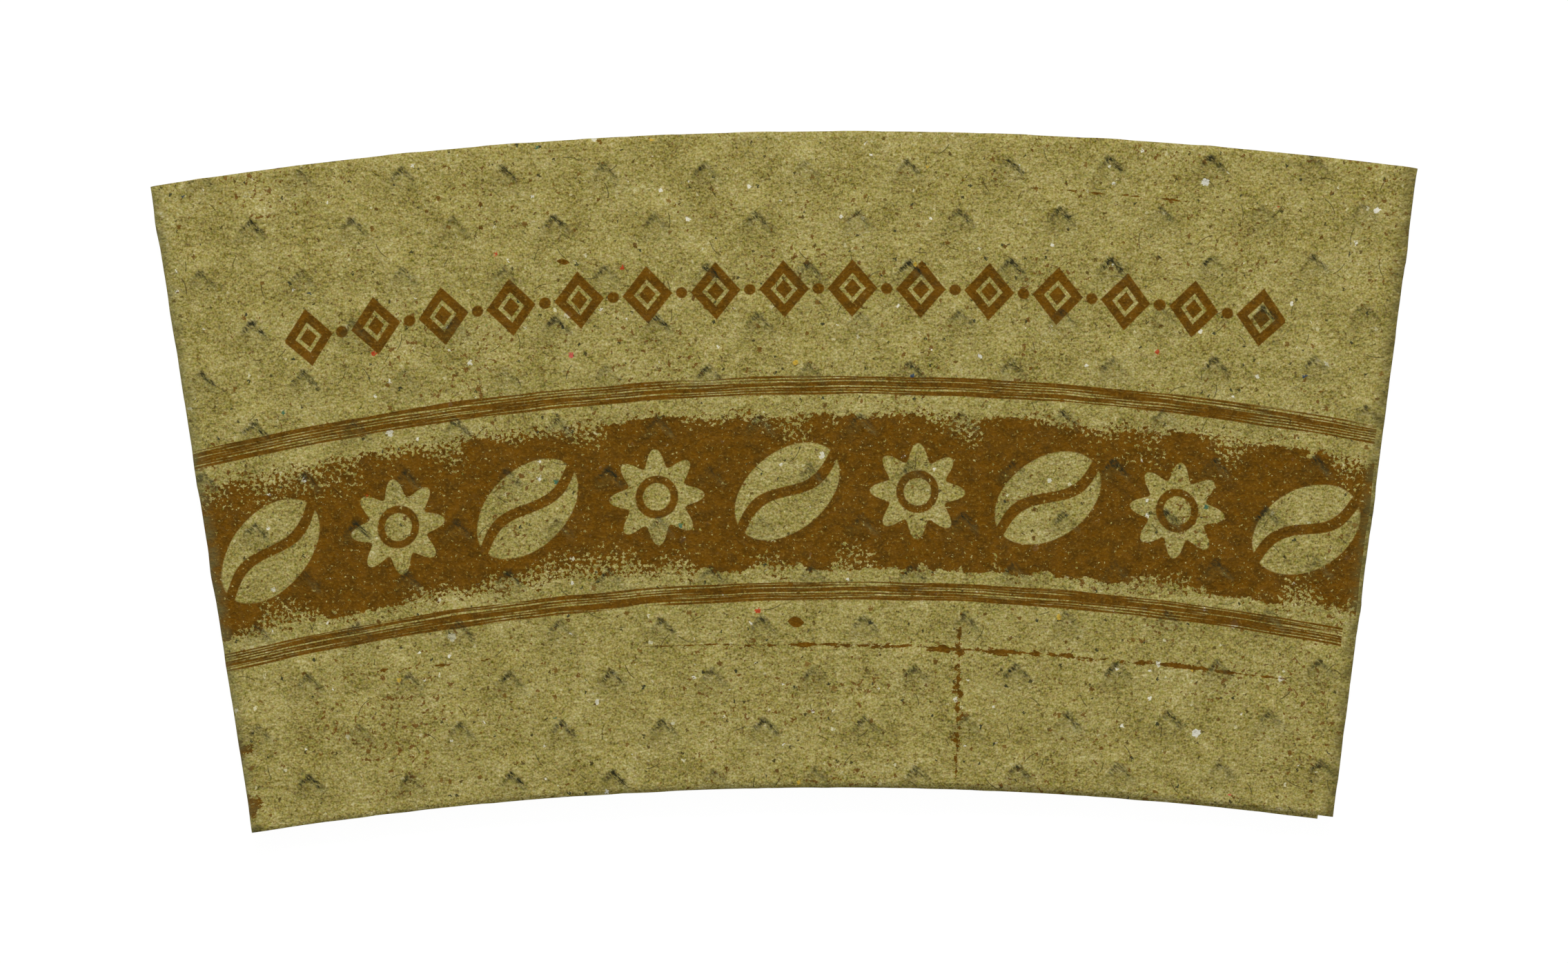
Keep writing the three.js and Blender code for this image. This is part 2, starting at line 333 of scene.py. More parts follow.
strayLines = [                             # broken lines and blots of ink, on the arc or across it, in mm
    {"from": 15, "to": 53, "place": 5.0, "fall": 0.03, "reach": 0.12, "gap": 0.46, "across": False},
    {"from": -17, "to": 58, "place": 50.6, "fall": 0.02, "reach": 0.28, "gap": 0.44, "across": False},
    {"from": -49, "to": -26, "place": 50.9, "fall": 0.0, "reach": 0.3, "gap": 0.53, "across": False},
    {"from": 46.4, "to": 65, "place": 17.7, "fall": 0.0, "reach": 0.5, "gap": 0.46, "across": True},
    {"from": -0.2, "to": 1.6, "place": 48.6, "fall": 0.1, "reach": 0.28, "gap": 0.1, "across": False},
    {"from": -21.5, "to": -20.2, "place": 11.9, "fall": 0.2, "reach": 0.16, "gap": 0.1, "across": False},
    {"from": 55.5, "to": 58.2, "place": -58.4, "fall": 0.0, "reach": 1.0, "gap": 0.38, "across": True},
    {"from": 61.0, "to": 63.8, "place": -58.2, "fall": 0.1, "reach": 0.8, "gap": 0.38, "across": True},
]


# Grains, clumps and soft mottling of the pulp, and single grains of other tints
def pulpColor(tree, flat, lift):
    tone = 0.5
    for size, contrast in board["layers"]:
        layer = addNode(tree, "TexNoise",
                        {"Vector": flat, "Scale": 1 / size, "Detail": 1.5, "Roughness": 0.6})
        layer = addNode(tree, "Math", {0: layer, 1: 0.5}, operation="SUBTRACT")
        tone = addNode(tree, "Math", {0: layer, 1: contrast, 2: tone}, operation="MULTIPLY_ADD")
    turned = addNode(tree, "Mapping", {"Vector": flat, "Rotation": (0, 0, 0.9), "Scale": (1.3, 2.8, 1)})
    strand = addNode(tree, "TexNoise", {"Vector": turned, "Scale": 1.0, "Detail": 2, "Distortion": 0.6})
    tone = addNode(tree, "Math", {0: strand, 1: 0.4, 2: tone}, operation="MULTIPLY_ADD")
    tone = addNode(tree, "Math", {0: tone, 1: 0.2 - lift}, operation="SUBTRACT")
    pulp = addNode(tree, "ValToRGB", {0: tone}, None)
    for k, (place, code) in enumerate(board["tones"]):
        stop = pulp.color_ramp.elements[k] if k < 2 else pulp.color_ramp.elements.new(place)
        stop.position = place
        stop.color = hexColor(code)
    grain = addNode(tree, "TexNoise", {"Vector": flat, "Scale": 1 / 0.3, "Detail": 1.0}, None)
    tints = addNode(tree, "VectorMath", {0: grain.outputs["Color"], 1: (0.5, 0.5, 0.5)},
                    operation="SUBTRACT")
    grain = grain.outputs[0]
    coarse = addNode(tree, "TexNoise", {"Vector": flat, "Scale": 1 / 1.1, "Detail": 2, "Roughness": 0.5})
    tints = addNode(tree, "VectorMath", {0: tints, "Scale": board["tint"]}, operation="SCALE")
    color = addNode(tree, "VectorMath", {0: pulp.outputs[0], 1: tints}, operation="ADD")
    return color, grain, coarse


# One short bent dark fibre in each cell of a scatter
def darkFibres(tree, flat, color):
    cells = addNode(tree, "TexVoronoi", {"Vector": flat, "Scale": 1 / board["strokeCell"]}, None,
                    voronoi_dimensions="2D")
    lot = addNode(tree, "SeparateColor", {0: cells.outputs["Color"]}, None)
    offset = addNode(tree, "VectorMath", {0: flat, 1: cells.outputs["Position"]}, operation="SUBTRACT")
    turn = addNode(tree, "Math", {0: lot.outputs[0], 1: math.tau}, operation="MULTIPLY")
    stroke = addNode(tree, "VectorRotate", {"Vector": offset, "Angle": turn}, rotation_type="Z_AXIS")
    strokeX = addNode(tree, "SeparateXYZ", {0: stroke}, "X")
    strokeY = addNode(tree, "SeparateXYZ", {0: stroke}, "Y")
    square = addNode(tree, "Math", {0: strokeX, 1: strokeX}, operation="MULTIPLY")
    bent = addNode(tree, "Math", {0: square, 1: board["strokeBend"], 2: strokeY}, operation="MULTIPLY_ADD")
    bent = addNode(tree, "Math", {0: bent}, operation="ABSOLUTE")
    thin = addNode(tree, "MapRange", {0: bent, 1: board["strokeWidth"], 2: board["strokeWidth"] * 0.3})
    longReach = addNode(tree, "Math", {0: lot.outputs[1], 1: board["strokeLength"] / 2},
                        operation="MULTIPLY")
    ends = addNode(tree, "Math", {0: strokeX}, operation="ABSOLUTE")
    ends = addNode(tree, "Math", {0: ends, 1: longReach}, operation="LESS_THAN")
    present = addNode(tree, "Math", {0: lot.outputs[2], 1: board["strokeMissing"]},
                      operation="GREATER_THAN")
    strokes = addNode(tree, "Math", {0: thin, 1: ends}, operation="MULTIPLY")
    strokes = addNode(tree, "Math", {0: strokes, 1: present}, operation="MULTIPLY")
    strokes = addNode(tree, "Math", {0: strokes, 1: 0.8}, operation="MULTIPLY")
    color = addNode(tree, "Mix", {0: strokes, 6: color, 7: hexColor(board["fibreDark"])}, 2,
                    data_type="RGBA")
    return color


def wasteFlecks(tree, flat, color):
    # Flecks of dark, pale, brown and coloured waste paper
    ragged = addNode(tree, "TexNoise", {"Vector": flat, "Scale": 4.0, "Detail": 1}, "Color")
    ragged = addNode(tree, "VectorMath", {0: ragged, "Scale": 0.6}, operation="SCALE")
    raggedPlace = addNode(tree, "VectorMath", {0: flat, 1: ragged}, operation="ADD")
    for order, fleck in enumerate(flecks):
        shifted = addNode(tree, "VectorMath", {0: raggedPlace, 1: (17.0 * order, 9.0 * order, 0)},
                          operation="ADD")
        cells = addNode(tree, "TexVoronoi", {"Vector": shifted, "Scale": 1 / fleck["cell"]}, None,
                        voronoi_dimensions="2D")
        lot = addNode(tree, "SeparateColor", {0: cells.outputs["Color"]}, None)
        size = addNode(tree, "MapRange",
                       {0: lot.outputs[1], 1: 0, 2: 1, 3: fleck["size"] * 0.4, 4: fleck["size"] * 1.3})
        away = addNode(tree, "Math", {0: cells.outputs["Distance"], 1: fleck["cell"]}, operation="MULTIPLY")
        spot = addNode(tree, "Math", {0: size, 1: away}, operation="SUBTRACT")
        spot = addNode(tree, "MapRange", {0: spot, 1: -0.02, 2: 0.05, 3: 0, 4: 0.9})
        present = addNode(tree, "Math", {0: lot.outputs[2], 1: fleck["share"]}, operation="LESS_THAN")
        spot = addNode(tree, "Math", {0: spot, 1: present}, operation="MULTIPLY")
        ramp = addNode(tree, "ValToRGB", {0: lot.outputs[0]}, None)
        ramp.color_ramp.interpolation = "CONSTANT"
        stops, count = ramp.color_ramp.elements, len(fleck["colours"])
        for k, code in enumerate(fleck["colours"]):
            stop = stops[k] if k < 2 else stops.new(k / count)
            stop.position = k / count
            stop.color = hexColor(code)
        color = addNode(tree, "Mix", {0: spot, 6: color, 7: ramp.outputs[0]}, 2, data_type="RGBA")

    # Sprinkles of brown waste in some places
    where = addNode(tree, "TexNoise", {"Vector": flat, "Scale": 0.09, "Detail": 2})
    where = addNode(tree, "MapRange", {0: where, 1: 0.45, 2: 0.65, 3: 0.685, 4: 0.585})
    crumbs = addNode(tree, "TexNoise", {"Vector": flat, "Scale": 1.5, "Detail": 3, "Roughness": 0.6})
    crumbs = addNode(tree, "Math", {0: crumbs, 1: where}, operation="SUBTRACT")
    crumbs = addNode(tree, "MapRange", {0: crumbs, 1: 0, 2: 0.02, 3: 0, 4: 0.85})
    color = addNode(tree, "Mix", {0: crumbs, 6: color, 7: hexColor(board["sprinkle"])}, 2, data_type="RGBA")
    return color


# Broad band with torn edges and worn specks; q is the depth in mm below the upper lines
def wornBand(tree, flat, q):
    tear = addNode(tree, "TexNoise", {"Vector": flat, "Scale": 0.55, "Detail": 4, "Roughness": 0.65})
    fromTop = addNode(tree, "Math", {0: q, 1: printing["bandFrom"]}, operation="SUBTRACT")
    fromBottom = addNode(tree, "Math", {0: printing["bandTo"], 1: q}, operation="SUBTRACT")
    inside = addNode(tree, "Math", {0: fromTop, 1: fromBottom}, operation="MINIMUM")
    torn = addNode(tree, "MapRange",
                   {0: tear, 1: 0.35, 2: 0.65, 3: -printing["tornEdge"], 4: printing["tornEdge"]})
    band = addNode(tree, "Math", {0: inside, 1: torn}, operation="SUBTRACT")
    band = addNode(tree, "MapRange", {0: band, 1: -0.08, 2: 0.08})
    patch = addNode(tree, "TexNoise", {"Vector": flat, "Scale": 0.13, "Detail": 1})
    wornReach = addNode(tree, "MapRange", {0: patch, 1: 0.44, 2: 0.62, 3: 0.2, 4: printing["wornReach"]})
    wear = addNode(tree, "Math", {0: inside, 1: wornReach}, operation="DIVIDE")
    limit = addNode(tree, "MapRange", {0: wear, 1: 0, 2: 1, 3: 0.56, 4: 0.34})
    speckle = addNode(tree, "TexNoise", {"Vector": flat, "Scale": 2.6, "Detail": 2, "Roughness": 0.6})
    kept = addNode(tree, "Math", {0: speckle, 1: limit}, operation="SUBTRACT")
    kept = addNode(tree, "MapRange", {0: kept, 1: -0.015, 2: 0.015})
    band = addNode(tree, "Math", {0: band, 1: kept}, operation="MULTIPLY")
    return band


# Motifs left bare in the band: ovals with a curved groove, and eight-petalled rosettes between them
def bareMotifs(tree, along, q):
    soft = printing["softEdge"]
    level = addNode(tree, "Math", {0: q, 1: printing["motifDrop"]}, operation="SUBTRACT")
    step = addNode(tree, "Math", {0: along, 1: printing["motifSpacing"]}, operation="DIVIDE")
    cellId = addNode(tree, "Math", {0: step}, operation="ROUND")
    centre = addNode(tree, "Math", {0: cellId, 1: printing["motifSpacing"]}, operation="MULTIPLY")
    local = addNode(tree, "Math", {0: along, 1: centre}, operation="SUBTRACT")
    odd = addNode(tree, "Math", {0: cellId, 1: 1.0}, operation="PINGPONG")
    place = addNode(tree, "CombineXYZ", {0: local, 1: level})
    spun = addNode(tree, "VectorRotate", {"Vector": place, "Angle": printing["motifTurn"]},
                   rotation_type="Z_AXIS")
    spunX = addNode(tree, "SeparateXYZ", {0: spun}, "X")
    spunY = addNode(tree, "SeparateXYZ", {0: spun}, "Y")
    ovalX = addNode(tree, "Math", {0: spunX, 1: printing["ovalHalves"][0]}, operation="DIVIDE")
    ovalY = addNode(tree, "Math", {0: spunY, 1: printing["ovalHalves"][1]}, operation="DIVIDE")
    ovalFlat = addNode(tree, "CombineXYZ", {0: ovalX, 1: ovalY})
    oval = addNode(tree, "VectorMath", {0: ovalFlat}, "Value", operation="LENGTH")
    oval = addNode(tree, "MapRange", {0: oval, 1: 1.015, 2: 0.985})
    wave = addNode(tree, "Math", {0: spunX, 1: printing["grooveTurn"]}, operation="MULTIPLY")
    wave = addNode(tree, "Math", {0: wave}, operation="SINE")
    wave = addNode(tree, "Math", {0: wave, 1: printing["grooveSwing"]}, operation="MULTIPLY")
    groove = addNode(tree, "Math", {0: spunY, 1: wave}, operation="SUBTRACT")
    groove = addNode(tree, "Math", {0: groove}, operation="ABSOLUTE")
    groove = addNode(tree, "MapRange",
                     {0: groove, 1: printing["grooveReach"] - soft, 2: printing["grooveReach"] + soft})
    oval = addNode(tree, "Math", {0: oval, 1: groove}, operation="MULTIPLY")
    reach = addNode(tree, "VectorMath", {0: place}, "Value", operation="LENGTH")
    bearing = addNode(tree, "Math", {0: level, 1: local}, operation="ARCTAN2")
    petals = addNode(tree, "Math", {0: bearing, 1: printing["petalCount"]}, operation="MULTIPLY")
    petals = addNode(tree, "Math", {0: petals}, operation="COSINE")
    petals = addNode(tree, "Math", {0: petals, 1: printing["petalDepth"], 2: printing["petalMiddle"]},
                     operation="MULTIPLY_ADD")
    rosette = addNode(tree, "Math", {0: petals, 1: reach}, operation="SUBTRACT")
    rosette = addNode(tree, "MapRange", {0: rosette, 1: -0.07, 2: 0.07})
    ring = addNode(tree, "Math", {0: reach, 1: printing["ringRadius"]}, operation="SUBTRACT")
    ring = addNode(tree, "Math", {0: ring}, operation="ABSOLUTE")
    ring = addNode(tree, "MapRange",
                   {0: ring, 1: printing["ringReach"] - soft, 2: printing["ringReach"] + soft})
    rosette = addNode(tree, "Math", {0: rosette, 1: ring}, operation="MULTIPLY")
    motif = addNode(tree, "Mix", {0: odd, 2: oval, 3: rosette}, 0)
    return motif


# Two groups of fine broken lines along the arcs
def fineLines(tree, along, q, ink):
    slow = addNode(tree, "Math", {0: along, 1: 0.05}, operation="MULTIPLY")
    quick = addNode(tree, "Math", {0: q, 1: 2.2}, operation="MULTIPLY")
    drag = addNode(tree, "CombineXYZ", {0: slow, 1: quick})
    streaks = addNode(tree, "TexNoise", {"Vector": drag, "Scale": 1.6, "Detail": 3, "Roughness": 0.6})
    lower = addNode(tree, "Math", {0: q, 1: printing["lowerLines"]}, operation="SUBTRACT")
    for depthInGroup in (q, lower):
        fromMiddle = addNode(tree, "Math", {0: depthInGroup}, operation="ABSOLUTE")
        within = addNode(tree, "MapRange",
                         {0: fromMiddle, 1: printing["lineReach"], 2: printing["lineReach"] - 0.08})
        turns = addNode(tree, "Math", {0: depthInGroup, 1: math.tau / printing["linePitch"]},
                        operation="MULTIPLY")
        ridge = addNode(tree, "Math", {0: turns}, operation="COSINE")
        fade = addNode(tree, "Math",
                       {0: depthInGroup, 1: printing["lineFade"], 2: printing["lineOffset"]},
                       operation="MULTIPLY_ADD")
        ridge = addNode(tree, "Math", {0: ridge, 1: printing["lineRidge"], 2: fade},
                        operation="MULTIPLY_ADD")
        ridge = addNode(tree, "Math", {0: streaks, 1: printing["lineWear"], 2: ridge},
                        operation="MULTIPLY_ADD")
        lines = addNode(tree, "MapRange", {0: ridge, 1: 0.42, 2: 0.60})
        lines = addNode(tree, "Math", {0: lines, 1: within}, operation="MULTIPLY")
        ink = addNode(tree, "Math", {0: ink, 1: lines}, operation="MAXIMUM")
    return ink


# Frieze above the band: upright lozenges with dots between
def friezeRow(tree, along, t, q):
    soft = printing["softEdge"]
    height = addNode(tree, "Math", {0: q, 1: printing["friezeRise"]}, operation="ADD")
    step = addNode(tree, "Math", {0: along, 1: printing["friezeSpacing"]}, operation="DIVIDE")
    whole = addNode(tree, "Math", {0: step}, operation="ROUND")
    centre = addNode(tree, "Math", {0: whole, 1: printing["friezeSpacing"]}, operation="MULTIPLY")
    local = addNode(tree, "Math", {0: along, 1: centre}, operation="SUBTRACT")
    local = addNode(tree, "Math", {0: local}, operation="ABSOLUTE")
    tall = addNode(tree, "Math", {0: height}, operation="ABSOLUTE")
    lean = addNode(tree, "Math", {0: local, 1: printing["lozengeLean"]}, operation="MULTIPLY")
    lozenge = addNode(tree, "Math", {0: lean, 1: tall}, operation="ADD")
    solidPart = addNode(tree, "MapRange",
                        {0: lozenge, 1: printing["lozengeReach"] + 2.5 * soft, 2: printing["lozengeReach"]})
    hollowPart = addNode(tree, "Math", {0: lozenge, 1: printing["innerRadius"]}, operation="SUBTRACT")
    hollowPart = addNode(tree, "Math", {0: hollowPart}, operation="ABSOLUTE")
    hollowPart = addNode(tree, "MapRange",
                         {0: hollowPart, 1: printing["innerReach"] - soft, 2: printing["innerReach"] + soft})
    lozenge = addNode(tree, "Math", {0: solidPart, 1: hollowPart}, operation="MULTIPLY")
    away = addNode(tree, "Math", {0: printing["friezeSpacing"] / 2, 1: local}, operation="SUBTRACT")
    dot = addNode(tree, "VectorMath", {0: addNode(tree, "CombineXYZ", {0: away, 1: height})}, "Value",
                  operation="LENGTH")
    dot = addNode(tree, "MapRange", {0: dot, 1: printing["dotRadius"] + 2 * soft, 2: printing["dotRadius"]})
    frieze = addNode(tree, "Math", {0: lozenge, 1: dot}, operation="MAXIMUM")
    panelPlace = addNode(tree, "Math", {0: t, 1: panelReach}, operation="MULTIPLY")
    panelPlace = addNode(tree, "Math", {0: panelPlace}, operation="ABSOLUTE")
    withinEnds = addNode(tree, "Math", {0: panelPlace, 1: printing["friezeEnd"]}, operation="LESS_THAN")
    frieze = addNode(tree, "Math", {0: frieze, 1: withinEnds}, operation="MULTIPLY")
    return frieze


def strayInk(tree, arc, along, depth, ink):
    for stray in strayLines:
        run, side = (depth, along) if stray["across"] else (along, depth)
        stretch = (0.9, 1.0, 1) if stray["across"] else (0.4, 0.9, 1)
        stretched = addNode(tree, "Mapping", {"Vector": arc, "Scale": stretch})
        blots = addNode(tree, "TexNoise",
                        {"Vector": stretched, "Scale": 1.0, "Detail": 4, "Roughness": 0.75})
        fromStart = addNode(tree, "Math", {0: run, 1: stray["from"]}, operation="SUBTRACT")
        line = addNode(tree, "Math", {0: fromStart, 1: stray["fall"], 2: stray["place"]},
                       operation="MULTIPLY_ADD")
        off = addNode(tree, "Math", {0: side, 1: line}, operation="SUBTRACT")
        off = addNode(tree, "Math", {0: off}, operation="ABSOLUTE")
        width = addNode(tree, "MapRange",
                        {0: blots, 1: stray["gap"], 2: stray["gap"] + 0.2, 3: 0, 4: 2 * stray["reach"]})
        half = (stray["to"] - stray["from"]) / 2
        taper = addNode(tree, "Math", {0: fromStart, 1: half}, operation="SUBTRACT")
        taper = addNode(tree, "Math", {0: taper, 1: half}, operation="DIVIDE")
        taper = addNode(tree, "Math", {0: taper, 1: taper}, operation="MULTIPLY")
        taper = addNode(tree, "Math", {0: 1.0, 1: taper}, operation="SUBTRACT", use_clamp=True)
        mark = addNode(tree, "Math", {0: width, 1: taper}, operation="MULTIPLY")
        mark = addNode(tree, "Math", {0: mark, 1: off}, operation="SUBTRACT")
        mark = addNode(tree, "MapRange", {0: mark, 1: 0, 2: 0.05})
        ink = addNode(tree, "Math", {0: ink, 1: mark}, operation="MAXIMUM")
    return ink


# Brown flexo ink on the outside. Its arcs bend a little more than the board's edges do
def wornPrint(tree, flat, arc, grain, coarse, color):
    along = addNode(tree, "SeparateXYZ", {0: arc}, "X")
    depth = addNode(tree, "SeparateXYZ", {0: arc}, "Y")
    t = addNode(tree, "Math", {0: along, 1: panelReach}, operation="DIVIDE")
    mirrored = addNode(tree, "Math", {0: -2.0, 1: t}, operation="SUBTRACT")
    t = addNode(tree, "Math", {0: t, 1: mirrored}, operation="MAXIMUM")
    square = addNode(tree, "Math", {0: t, 1: t}, operation="MULTIPLY")
    curve = addNode(tree, "Math", {0: square, 1: printing["drop"], 2: printing["upperLines"]},
                    operation="MULTIPLY_ADD")
    curve = addNode(tree, "Math", {0: t, 1: printing["tilt"], 2: curve}, operation="MULTIPLY_ADD")
    q = addNode(tree, "Math", {0: depth, 1: curve}, operation="SUBTRACT")
    ink = wornBand(tree, flat, q)
    printedPart = addNode(tree, "Math", {0: 1.0, 1: bareMotifs(tree, along, q)}, operation="SUBTRACT")
    ink = addNode(tree, "Math", {0: ink, 1: printedPart}, operation="MULTIPLY")
    ink = fineLines(tree, along, q, ink)
    ink = addNode(tree, "Math", {0: ink, 1: friezeRow(tree, along, t, q)}, operation="MAXIMUM")
    ink = strayInk(tree, arc, along, depth, ink)

    # No ink past the bare margin before the right fold, nor in tiny pores of the pulp
    upperMargin, bandMargin, lowerMargin = printing["rightMargins"]
    inBand = addNode(tree, "Math", {0: q, 1: printing["marginEnds"][0]}, operation="GREATER_THAN")
    inLower = addNode(tree, "Math", {0: q, 1: printing["marginEnds"][1]}, operation="GREATER_THAN")
    margin = addNode(tree, "Math", {0: inBand, 1: bandMargin - upperMargin, 2: upperMargin},
                     operation="MULTIPLY_ADD")
    margin = addNode(tree, "Math", {0: inLower, 1: lowerMargin - bandMargin, 2: margin},
                     operation="MULTIPLY_ADD")
    edge = addNode(tree, "Math", {0: panelReach, 1: margin}, operation="SUBTRACT")
    edge = addNode(tree, "Math", {0: along, 1: edge}, operation="LESS_THAN")
    ink = addNode(tree, "Math", {0: ink, 1: edge}, operation="MULTIPLY")
    pores = addNode(tree, "MapRange", {0: grain, 1: 0.78, 2: 0.66, 3: 0.7, 4: 0.96})
    inkShare = addNode(tree, "Math", {0: ink, 1: pores}, operation="MULTIPLY")
    inkPaleShare = addNode(tree, "MapRange", {0: grain, 1: 0.51, 2: 0.75, 3: 0, 4: 0.5})
    inkDarkShare = addNode(tree, "MapRange", {0: coarse, 1: 0.38, 2: 0.68, 3: 0, 4: 0.75})
    inkColor = addNode(tree, "Mix",
                       {0: inkDarkShare, 6: hexColor(board["ink"]), 7: hexColor(board["inkDark"])},
                       2, data_type="RGBA")
    inkColor = addNode(tree, "Mix", {0: inkPaleShare, 6: inkColor, 7: hexColor(board["inkPale"])}, 2,
                       data_type="RGBA")
    color = addNode(tree, "Mix", {0: inkShare, 6: color, 7: inkColor}, 2, data_type="RGBA")
    return color


# Where the press stretched the board over a bump: a cracked dark tip, short cracks down its two
# lower ridges, grey scuffing beside the right one and a brown painted shade beside the left one.
# The dark cracks and the grey scuffing are cracked, scuffed pulp and painted shade of the lower
# ridges and the lower right side together.
def scuffedAndShadedBumps(tree, flat, color):
    origin = (sleeve["bumpAt"][0], chordHeight + sleeve["bumpAt"][1], 0)
    fromOrigin = addNode(tree, "VectorMath", {0: flat, 1: origin}, operation="SUBTRACT")
    ridges = addNode(tree, "VectorRotate", {"Vector": fromOrigin, "Angle": math.radians(-45)},
                     rotation_type="Z_AXIS")
    pitch = sleeve["bumpPitch"]
    cell = addNode(tree, "VectorMath", {0: ridges, "Scale": 1 / pitch}, operation="SCALE")
    cell = addNode(tree, "VectorMath", {0: cell, 1: (0.5, 0.5, 0)}, operation="ADD")
    cell = addNode(tree, "VectorMath", {0: cell}, operation="FLOOR")
    lot = addNode(tree, "SeparateColor",
                  {0: addNode(tree, "TexWhiteNoise", {0: cell}, 1, noise_dimensions="2D")}, None)
    centre = addNode(tree, "VectorMath", {0: cell, "Scale": pitch}, operation="SCALE")
    local = addNode(tree, "VectorMath", {0: ridges, 1: centre}, operation="SUBTRACT")
    wobble = addNode(tree, "TexNoise", {"Vector": flat, "Scale": 1.3, "Detail": 3}, "Color")
    wobble = addNode(tree, "VectorMath", {0: wobble, 1: (0.5, 0.5, 0.5)}, operation="SUBTRACT")
    wobble = addNode(tree, "VectorMath", {0: wobble, "Scale": 0.5}, operation="SCALE")
    local = addNode(tree, "VectorMath", {0: wobble, 1: local}, operation="ADD")
    upRight = addNode(tree, "SeparateXYZ", {0: local}, "X")     # mm along the ridge to the upper right
    upLeft = addNode(tree, "SeparateXYZ", {0: local}, "Y")      # mm along the ridge to the upper left
    stretched = addNode(tree, "Mapping", {"Vector": ridges, "Scale": (3.2, 1.0, 1)})
    streaky = addNode(tree, "TexNoise",
                      {"Vector": stretched, "Scale": 1.6, "Detail": 3, "Roughness": 0.7})
    # The ridge each mark runs down and the one across; its start, end, side and half width in mm
    # bumpShade is painted shade; the grey and dark marks are scuffed, cracked pulp and painted shade together
    marks = [
        {"run": upRight, "across": upLeft, "from": 0.2, "to": -2.6, "side": -0.4, "reach": 0.7, "lot": 1,
         "share": 0.38, "least": 0.4, "color": "bumpShade"},
        {"run": upLeft, "across": upRight, "from": -0.3, "to": -2.6, "side": -0.2, "reach": 0.36, "lot": 0,
         "share": 0.4, "least": 0.3, "color": "scuffAndShade"},
        {"run": upLeft, "across": upRight, "from": 0.3, "to": -2.3, "side": 0.1, "reach": 0.36, "lot": 2,
         "share": 1.0, "least": 0.3, "color": "crackAndShade"},
        {"run": upRight, "across": upLeft, "from": 0.3, "to": -1.6, "side": 0.05, "reach": 0.34, "lot": 1,
         "share": 1.0, "least": 0.2, "color": "crackAndShade"},
        {"run": upRight, "across": upLeft, "from": 0.5, "to": -0.5, "side": -0.05, "reach": 0.5, "lot": 2,
         "share": 1.1, "least": 0.4, "color": "crackAndShade"},
    ]
    for mark in marks:
        middle, half = (mark["from"] + mark["to"]) / 2, (mark["from"] - mark["to"]) / 2
        run = addNode(tree, "Math", {0: mark["run"], 1: middle}, operation="SUBTRACT")
        run = addNode(tree, "Math", {0: run, 1: half}, operation="DIVIDE")
        across = addNode(tree, "Math", {0: mark["across"], 1: mark["side"]}, operation="SUBTRACT")
        across = addNode(tree, "Math", {0: across, 1: mark["reach"]}, operation="DIVIDE")
        away = addNode(tree, "VectorMath", {0: addNode(tree, "CombineXYZ", {0: run, 1: across})},
                       "Value", operation="LENGTH")
        share = addNode(tree, "MapRange", {0: away, 1: 1.15, 2: 0.25})
        own = addNode(tree, "MapRange", {0: lot.outputs[mark["lot"]], 1: 0, 2: 1, 3: mark["least"], 4: 1.2})
        rough = addNode(tree, "MapRange", {0: streaky, 1: 0.38, 2: 0.6, 3: 0.1, 4: 1})
        share = addNode(tree, "Math", {0: share, 1: own}, operation="MULTIPLY")
        share = addNode(tree, "Math", {0: share, 1: rough}, operation="MULTIPLY")
        share = addNode(tree, "Math", {0: share, 1: mark["share"]}, operation="MULTIPLY", use_clamp=True)
        color = addNode(tree, "Mix", {0: share, 6: color, 7: hexColor(board[mark["color"]])}, 2,
                        data_type="RGBA")
    return color


# Rubbed creases along both folds, with painted shade where the board rounds over each fold
def rubbedAndShadedFolds(tree, arc, coarse, color):
    along = addNode(tree, "SeparateXYZ", {0: arc}, "X")
    # grey on the left fold, darker on the right: rubbed board and painted shade of each fold's rounding
    creases = [(-panelReach, "scuffAndShade", board["leftRubAndShade"]), (panelReach, "creaseRubAndShade", board["rightRubAndShade"])]
    for side, code, strength in creases:
        away = addNode(tree, "Math", {0: along, 1: side}, operation="SUBTRACT")
        away = addNode(tree, "Math", {0: away}, operation="ABSOLUTE")
        rubAndShade = addNode(tree, "MapRange",
                      {0: away, 1: board["foldRubAndShade"][0], 2: board["foldRubAndShade"][1], 3: 0, 4: strength})
        patchy = addNode(tree, "MapRange", {0: coarse, 1: 0.36, 2: 0.6, 3: 0.25, 4: 1})
        rubAndShade = addNode(tree, "Math", {0: rubAndShade, 1: patchy}, operation="MULTIPLY")
        color = addNode(tree, "Mix", {0: rubAndShade, 6: color, 7: hexColor(board[code])}, 2, data_type="RGBA")
    return color


def makeBoard(name, printed, lift):  # lift makes the pulp paler
    material = bpy.data.materials.new(name)
    material.use_nodes = True
    tree = material.node_tree
    tree.nodes.clear()
    flat = addNode(tree, "VectorMath", {0: addNode(tree, "UVMap", uv_map="flat"), "Scale": 1000},
                   operation="SCALE")
    arc = addNode(tree, "VectorMath", {0: addNode(tree, "UVMap", uv_map="arc"), "Scale": 1000},
                  operation="SCALE")
    color, grain, coarse = pulpColor(tree, flat, lift)
    color = darkFibres(tree, flat, color)
    color = wasteFlecks(tree, flat, color)
    if printed:
        color = wornPrint(tree, flat, arc, grain, coarse, color)
        color = scuffedAndShadedBumps(tree, flat, color)
        color = rubbedAndShadedFolds(tree, arc, coarse, color)

    # Pulp relief
    relief = addNode(tree, "Math", {0: coarse, 1: 1.5, 2: grain}, operation="MULTIPLY_ADD")
    relief = addNode(tree, "Bump", {"Height": relief, "Strength": 1.0, "Distance": board["relief"] * mm})
    shader = addNode(tree, "BsdfPrincipled", {"Base Color": color, "Roughness": 0.92, "Normal": relief,
                                              "Specular IOR Level": 0.06})
    addNode(tree, "OutputMaterial", {0: shader})
    return material


